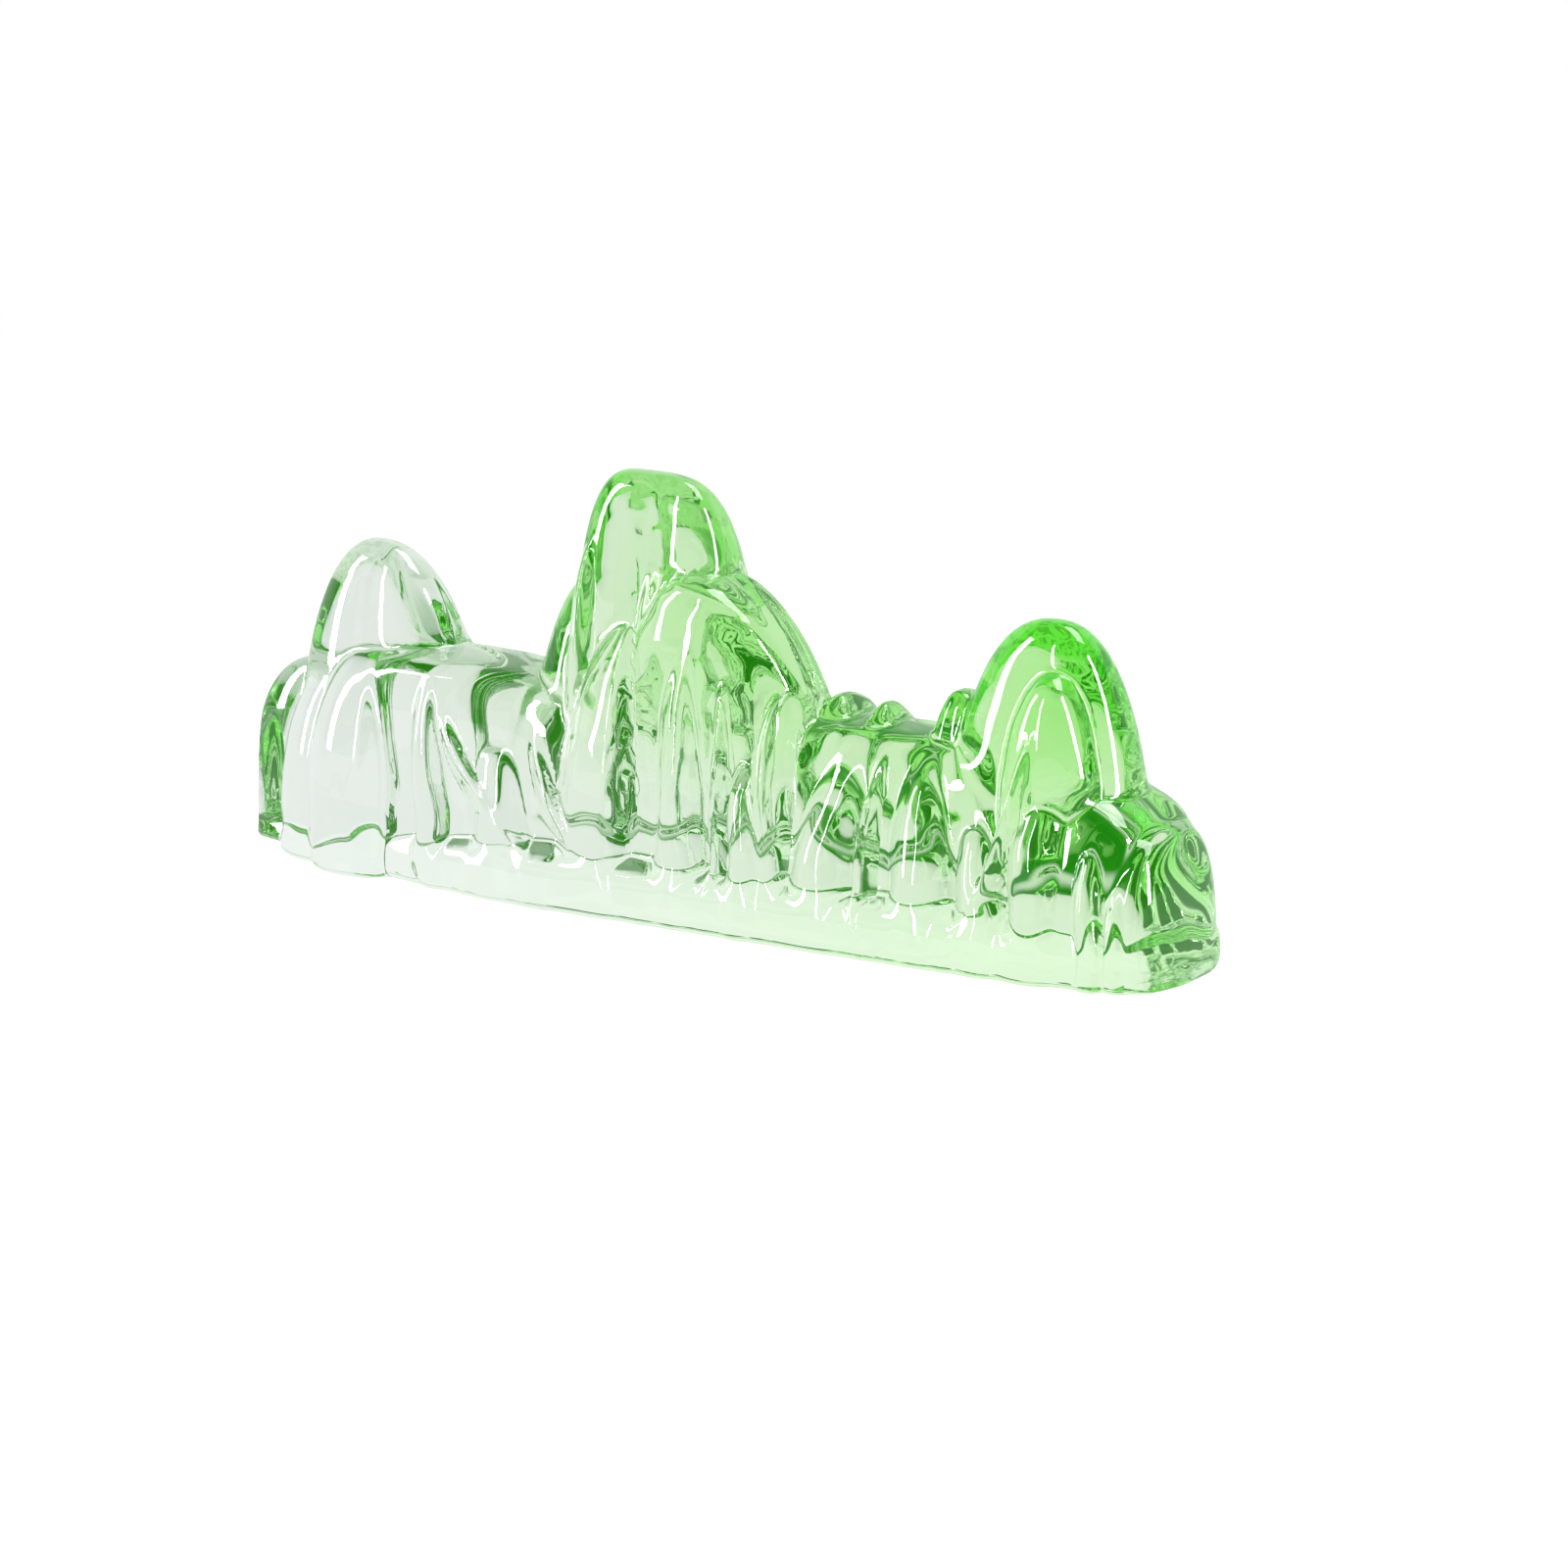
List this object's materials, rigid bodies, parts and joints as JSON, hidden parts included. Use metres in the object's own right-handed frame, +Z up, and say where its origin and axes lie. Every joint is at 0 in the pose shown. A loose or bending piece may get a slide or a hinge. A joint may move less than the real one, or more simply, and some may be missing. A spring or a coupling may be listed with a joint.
{
  "type": "brush rest",
  "caption": "Solid pressed-glass brush rest shaped as a mountain range, with a low saddle on each side of the tallest peak to hold the handle of a brush.",
  "frame": {"origin": "middle of the bounding box's footprint, on the plane of the table", "axes": "+X along the row of peaks to the green end, +Y from the front face to the back face, +Z up"},
  "size_m": [0.1, 0.023, 0.04],
  "materials": {
    "glass": "fire polished"
  },
  "bodies": {
    "root": {"glass_body": "glass"}
  },
  "joints": []
}
